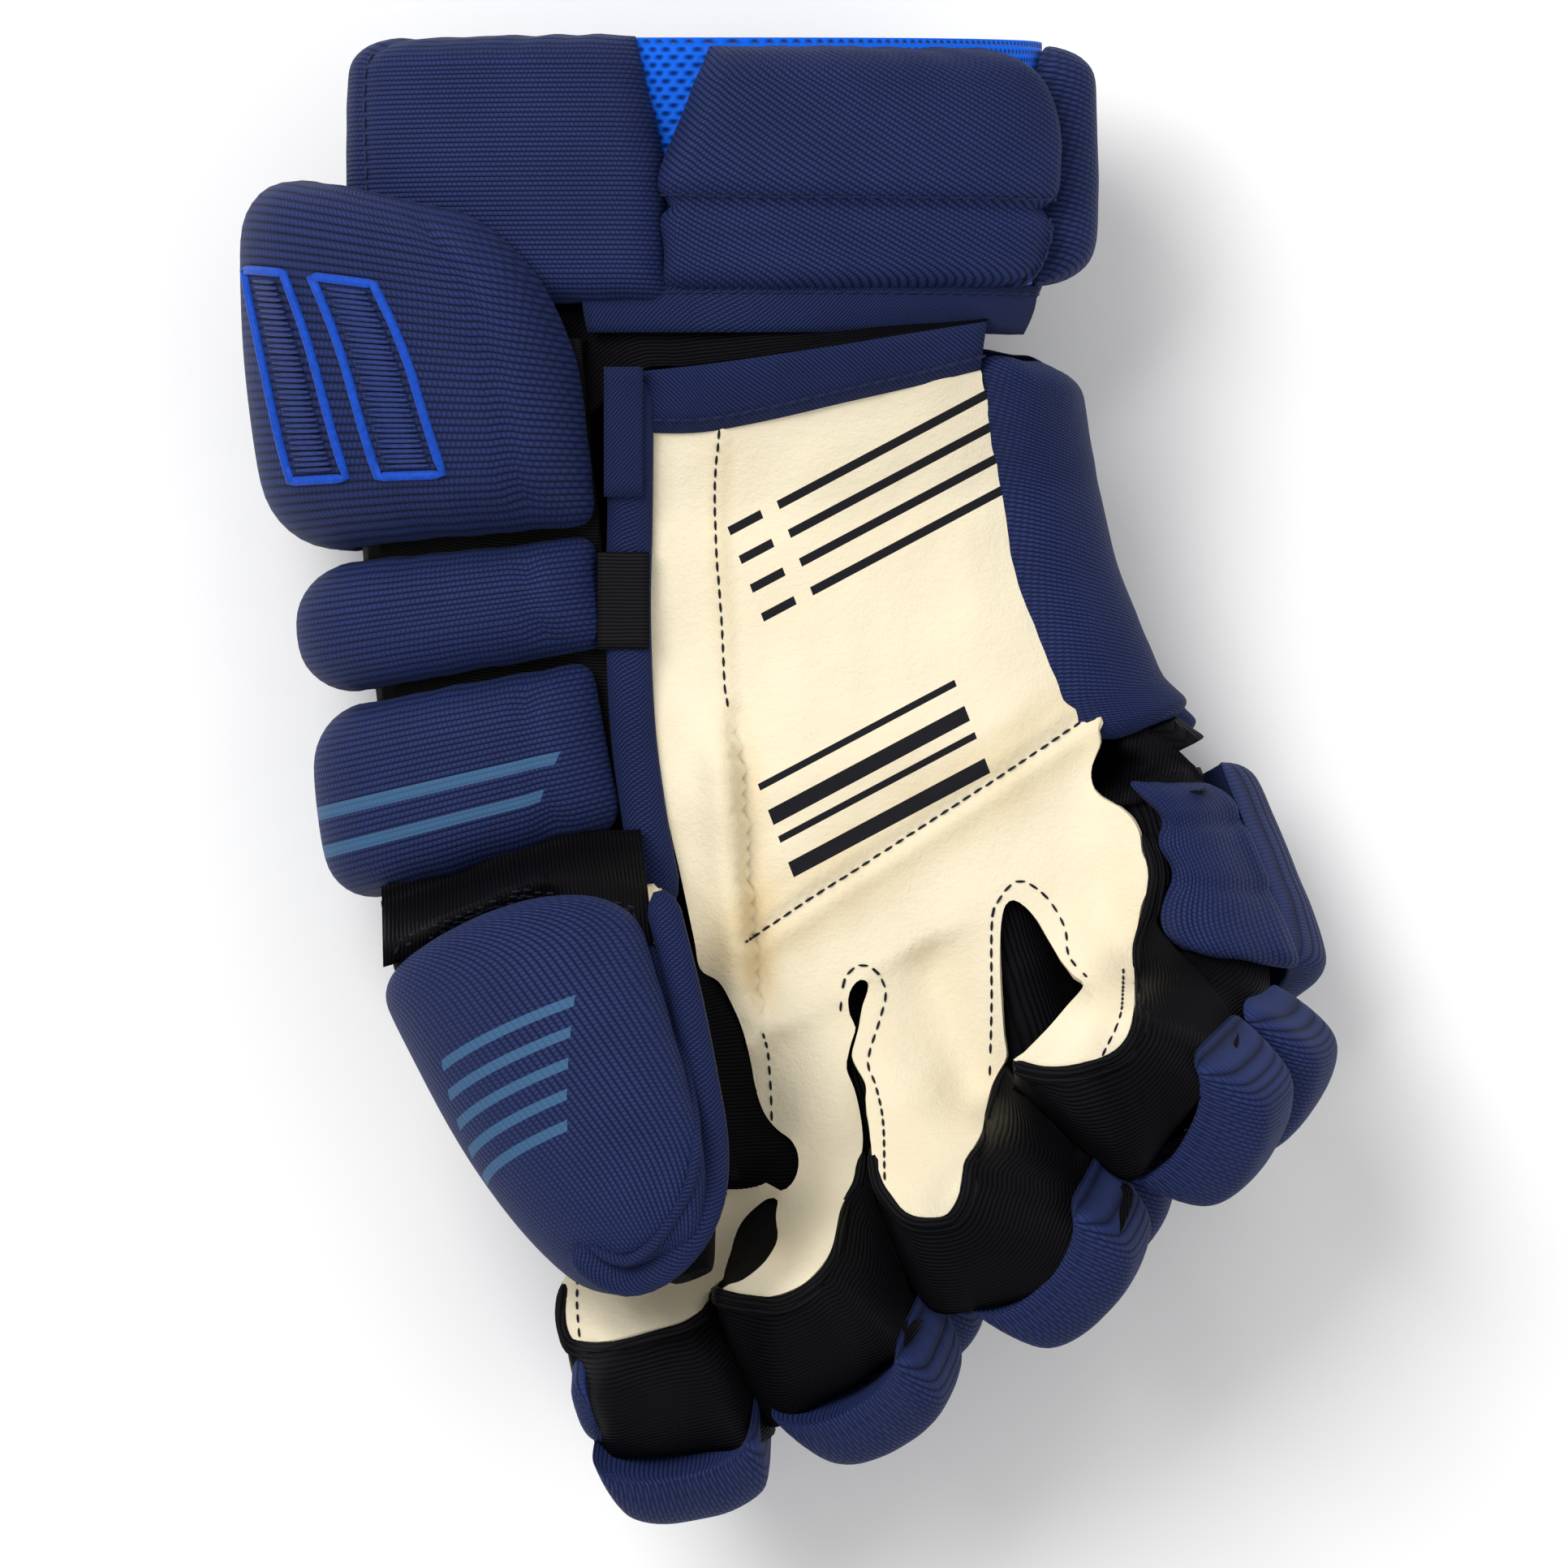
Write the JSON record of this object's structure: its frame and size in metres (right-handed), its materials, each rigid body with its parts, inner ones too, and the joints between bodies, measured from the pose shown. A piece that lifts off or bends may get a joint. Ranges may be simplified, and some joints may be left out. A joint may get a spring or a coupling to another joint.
{
  "type": "ice hockey glove",
  "caption": "Right-hand padded ice hockey glove lying palm up, with flared cuff, back rolls, curled jointed fingers and a stiff thumb cap.",
  "frame": {"origin": "on the floor under the middle of the glove's bounding box, the glove lying on its padded back", "axes": "+Y from the fingers to the cuff, +X to the little-finger side, +Z out of the palm"},
  "size_m": [0.2371, 0.3199, 0.1089],
  "materials": {
    "navy_woven": "woven nylon, dark navy, fine ribs",
    "navy_tape": "navy binding tape",
    "black_stretch": "ribbed black stretch fabric",
    "cream_suede": "cream synthetic suede",
    "blue_mesh": "royal-blue mesh lining",
    "plate": "moulded stiffener"
  },
  "bodies": {
    "hand": {"wrist_roll": "navy_woven", "middle_roll": "navy_woven", "thumb_base_roll": "navy_woven", "knuckle_roll": "navy_woven", "hand_liner": "black_stretch", "backhand_plate": "plate", "palm": "cream_suede", "thumb_palm_strip": "cream_suede", "pinky_side_panel": "navy_woven", "edge_binding": "navy_tape", "heel_binding": "navy_tape", "little_gusset": "black_stretch", "edge_tag": "black_stretch", "wrist_loop": "navy_tape", "wrist_gusset": "black_stretch", "thumb_flex_band": "black_stretch"},
    "cuff": {"cuff_thumb_pad": "navy_woven", "cuff_palm_pad": "navy_woven", "cuff_palm_band": "navy_woven", "cuff_back_pad": "navy_woven", "cuff_pinky_pad": "navy_woven", "cuff_liner": "blue_mesh", "cuff_thumb_plate": "plate", "cuff_back_plate": "plate", "cuff_binding": "navy_tape"},
    "thumb": {"thumb_sleeve": "black_stretch", "thumb_cap": "navy_woven", "thumb_plate": "plate", "thumb_palm": "cream_suede", "thumb_edge_binding": "navy_tape"},
    "index_base": {"index_base_pad": "navy_woven", "index_plate": "plate", "index_sleeve": "black_stretch", "index_palm_strip": "cream_suede"},
    "index_tip": {"index_middle_pad": "navy_woven", "index_tip_pad": "navy_woven"},
    "middle_base": {"middle_base_pad": "navy_woven", "middle_plate": "plate", "middle_sleeve": "black_stretch", "middle_palm_strip": "cream_suede"},
    "middle_tip": {"middle_middle_pad": "navy_woven", "middle_tip_pad": "navy_woven"},
    "ring_base": {"ring_base_pad": "navy_woven", "ring_plate": "plate", "ring_sleeve": "black_stretch", "ring_palm_strip": "cream_suede"},
    "ring_tip": {"ring_middle_pad": "navy_woven", "ring_tip_pad": "navy_woven"},
    "little_base": {"little_base_pad": "navy_woven", "little_plate": "plate", "little_sleeve": "black_stretch", "little_palm_strip": "cream_suede"},
    "little_tip": {"little_middle_pad": "navy_woven", "little_tip_pad": "navy_woven"}
  },
  "joints": [
    {"name": "cuff_flex", "type": "hinge", "parent": "hand", "child": "cuff", "pos_m": [0, 0.102, 0.0522], "axis": [1, 0, 0], "range_deg": [-5, 4], "stiffness_Nm_per_rad": 1.2, "deforming": ["wrist_gusset"]},
    {"name": "thumb_flex", "type": "hinge", "parent": "hand", "child": "thumb", "pos_m": [-0.055, -0.024, 0.06], "axis": [0.8722, 0.3823, 0.3053], "range_deg": [-12, 3], "stiffness_Nm_per_rad": 0.8, "deforming": ["thumb_flex_band"]},
    {"name": "index_knuckle", "type": "hinge", "parent": "hand", "child": "index_base", "pos_m": [-0.031, -0.05531, 0.032], "axis": [-0.9789, -0.1375, -0.1512], "range_deg": [-10, 12], "stiffness_Nm_per_rad": 0.5},
    {"name": "index_bend", "type": "hinge", "parent": "index_base", "child": "index_tip", "pos_m": [-0.02342, -0.10978, 0.03248], "axis": [-0.9789, -0.1375, -0.1512], "range_deg": [-18, 8], "stiffness_Nm_per_rad": 0.3, "deforming": ["index_sleeve", "index_palm_strip"]},
    {"name": "middle_knuckle", "type": "hinge", "parent": "hand", "child": "middle_base", "pos_m": [0.00431, -0.03673, 0.032], "axis": [-0.8894, -0.2355, -0.3917], "range_deg": [-10, 12], "stiffness_Nm_per_rad": 0.5},
    {"name": "middle_bend", "type": "hinge", "parent": "middle_base", "child": "middle_tip", "pos_m": [0.0188, -0.09593, 0.0347], "axis": [-0.8894, -0.2355, -0.3917], "range_deg": [-18, 8], "stiffness_Nm_per_rad": 0.3, "deforming": ["middle_sleeve", "middle_palm_strip"]},
    {"name": "ring_knuckle", "type": "hinge", "parent": "hand", "child": "ring_base", "pos_m": [0.03963, -0.01816, 0.0335], "axis": [-0.883, -0.2926, -0.367], "range_deg": [-10, 12], "stiffness_Nm_per_rad": 0.5},
    {"name": "ring_bend", "type": "hinge", "parent": "ring_base", "child": "ring_tip", "pos_m": [0.05747, -0.07538, 0.03618], "axis": [-0.883, -0.2926, -0.367], "range_deg": [-18, 8], "stiffness_Nm_per_rad": 0.3, "deforming": ["ring_sleeve", "ring_palm_strip"]},
    {"name": "little_knuckle", "type": "hinge", "parent": "hand", "child": "little_base", "pos_m": [0.07494, 0.00042, 0.037], "axis": [-0.7389, -0.3605, -0.5693], "range_deg": [-10, 12], "stiffness_Nm_per_rad": 0.5},
    {"name": "little_bend", "type": "hinge", "parent": "little_base", "child": "little_tip", "pos_m": [0.09394, -0.04814, 0.04308], "axis": [-0.7389, -0.3605, -0.5693], "range_deg": [-18, 8], "stiffness_Nm_per_rad": 0.3, "deforming": ["little_sleeve", "little_palm_strip"]}
  ]
}
